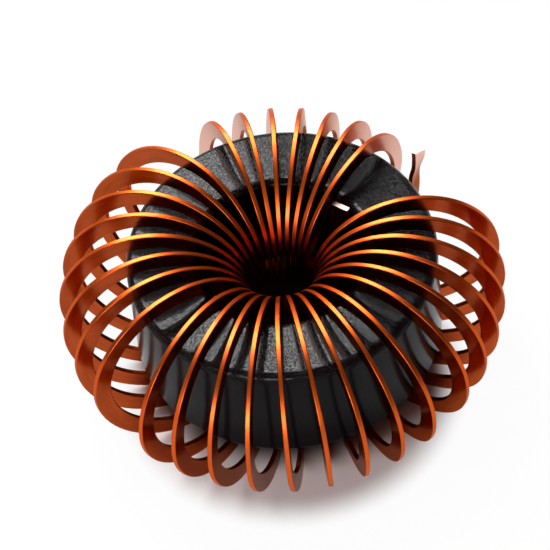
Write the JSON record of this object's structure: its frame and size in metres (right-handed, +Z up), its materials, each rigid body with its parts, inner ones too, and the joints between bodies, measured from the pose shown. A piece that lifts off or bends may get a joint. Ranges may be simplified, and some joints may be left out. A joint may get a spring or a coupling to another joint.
{
  "type": "toroidal inductor",
  "caption": "Power inductor: a flat copper wire wound on edge as open loops round a black coated ring core, with one wire end standing outside the ring and one in its hole.",
  "frame": {"origin": "centre of the bounding box on the plane that the turns stand on", "axes": "+Z up along the ring's axis, -Y towards the front in the picture, +X to its right"},
  "size_m": [0.0687, 0.0652, 0.0296],
  "materials": {
    "core_coating": "black epoxy coating, glossy on the wall and rough on the top",
    "enamelled_copper": "clear orange-brown enamel over copper, glossy"
  },
  "bodies": {
    "root": {"toroid_core": "core_coating", "winding": "enamelled_copper"}
  },
  "joints": []
}
